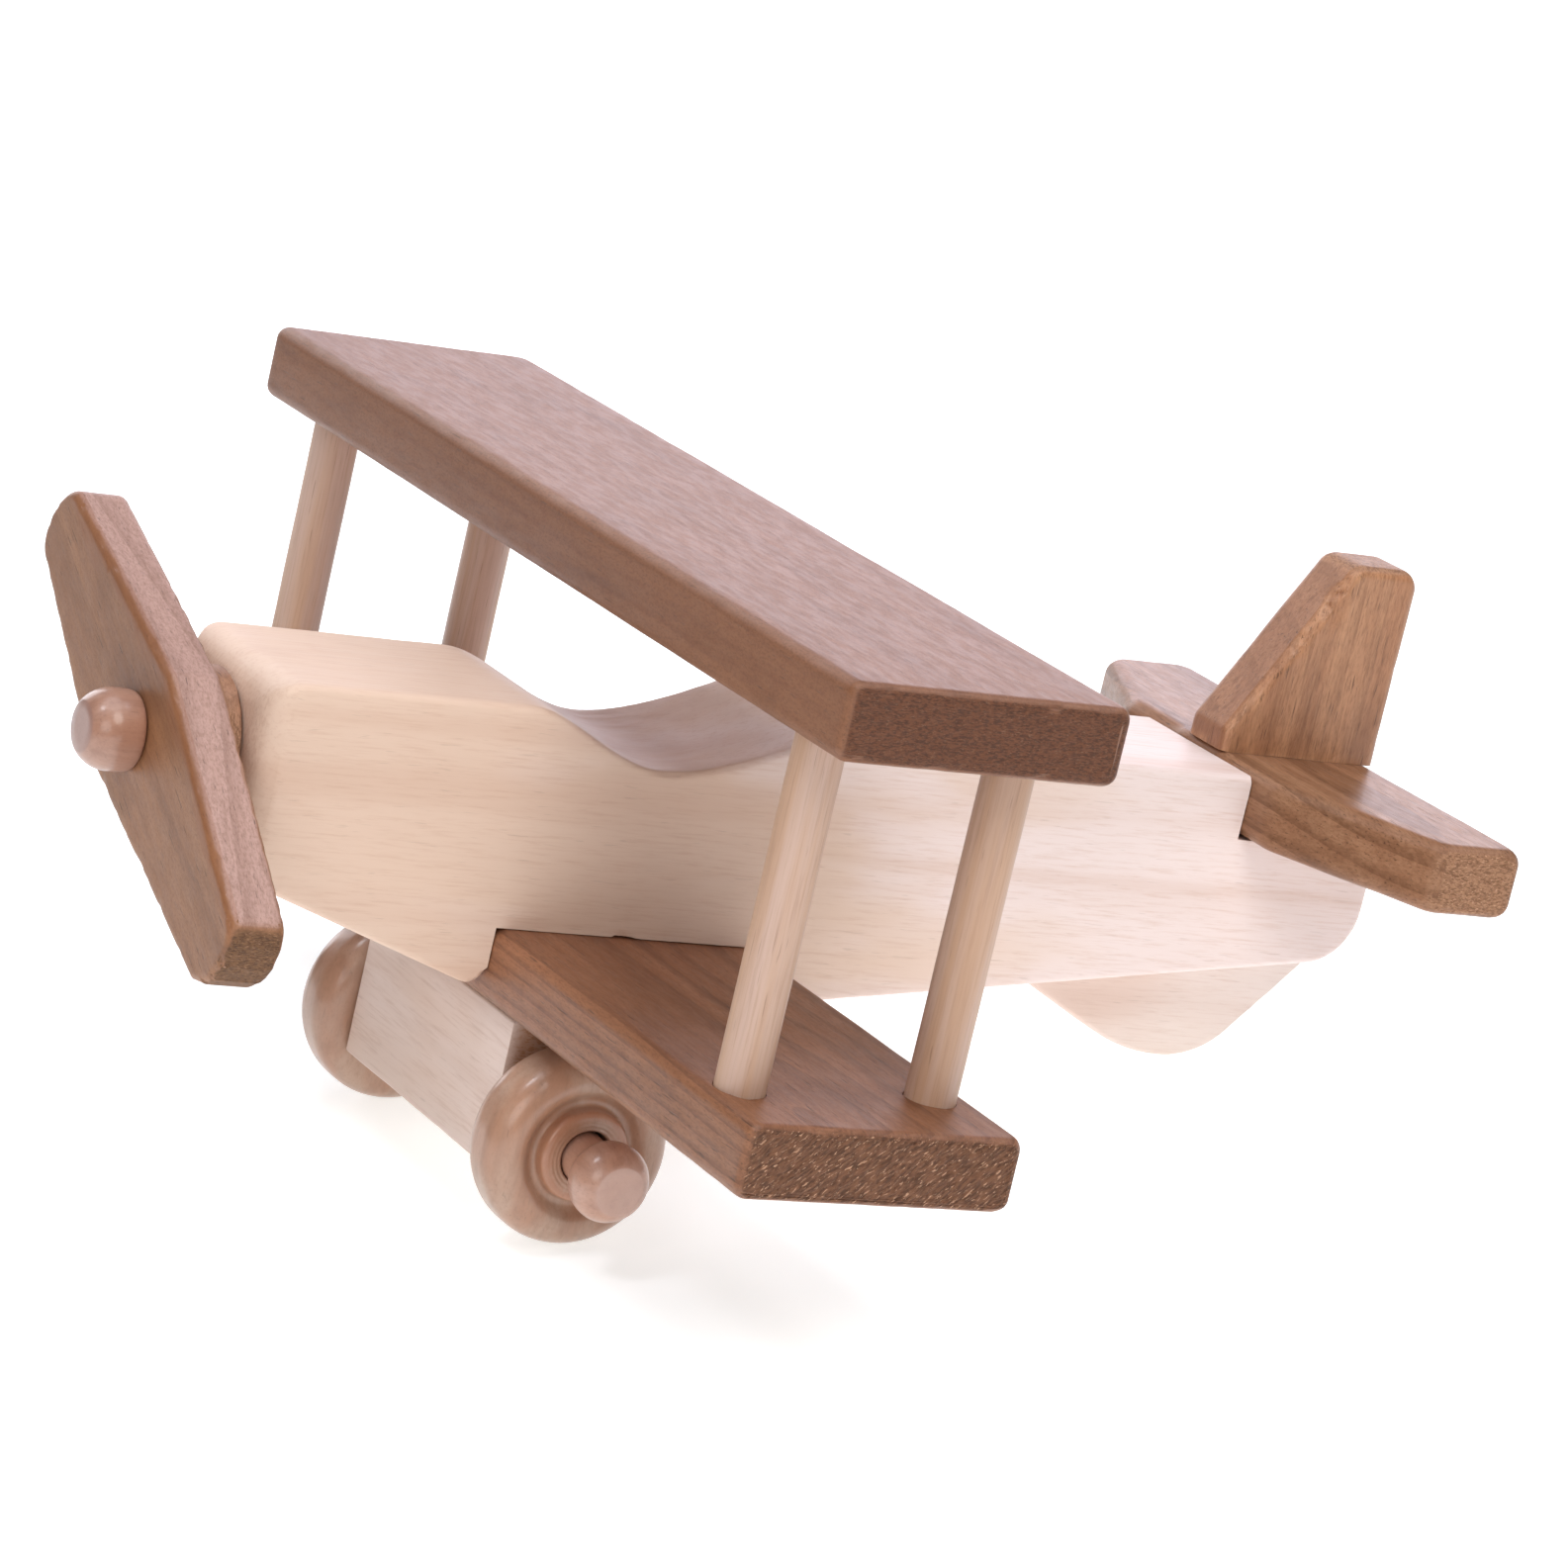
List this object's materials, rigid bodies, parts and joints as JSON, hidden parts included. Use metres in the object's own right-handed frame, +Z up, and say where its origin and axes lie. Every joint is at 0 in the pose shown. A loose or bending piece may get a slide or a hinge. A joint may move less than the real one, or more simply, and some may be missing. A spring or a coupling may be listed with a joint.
{
  "type": "wooden toy biplane",
  "caption": "Wooden toy biplane: sawn board fuselage, plank wings on dowel struts, and a propeller, spacer and wheels that spin on turned pegs.",
  "frame": {"origin": "centre of the bounding box on the ground plane that the wheels and tail skid stand on", "axes": "+Z up, +Y towards the tail, -Y towards the propeller, +X to the aircraft's port side"},
  "size_m": [0.2298, 0.2618, 0.1229],
  "materials": {
    "maple": "pale straight-grained hardwood, sanded, thin satin oil",
    "walnut": "brown open-pored hardwood, sanded faces, rough sawn end grain, thin oil",
    "birch": "pale dowel with fine lengthwise streaks, satin",
    "turned": "tan turned hardwood, smooth clear lacquer"
  },
  "bodies": {
    "airframe": {"fuselage": "maple", "upper_wing": "walnut", "lower_wing": "walnut", "strut_port_front": "birch", "strut_port_rear": "birch", "strut_starboard_front": "birch", "strut_starboard_rear": "birch", "axle_block": "maple", "wheel_peg_port": "turned", "wheel_peg_starboard": "turned", "propeller_peg": "turned", "tailplane": "walnut", "tail_fin": "walnut", "tail_skid": "maple"},
    "propeller": {"propeller": "walnut"},
    "spacer": {"propeller_spacer": "walnut"},
    "wheel_port": {"wheel_port": "turned"},
    "wheel_starboard": {"wheel_starboard": "turned"}
  },
  "joints": [
    {"name": "propeller_spin", "type": "hinge", "parent": "airframe", "child": "propeller", "pos_m": [0, -0.11587, 0.08777], "axis": [0, -0.9768, 0.2143], "continuous": true},
    {"name": "spacer_spin", "type": "hinge", "parent": "airframe", "child": "spacer", "pos_m": [0, -0.10873, 0.08621], "axis": [0, -0.9768, 0.2143], "continuous": true},
    {"name": "wheel_port_spin", "type": "hinge", "parent": "airframe", "child": "wheel_port", "pos_m": [0.0358, -0.05549, 0.0174], "axis": [1, 0, 0], "continuous": true},
    {"name": "wheel_starboard_spin", "type": "hinge", "parent": "airframe", "child": "wheel_starboard", "pos_m": [-0.0358, -0.05549, 0.0174], "axis": [1, 0, 0], "continuous": true}
  ]
}
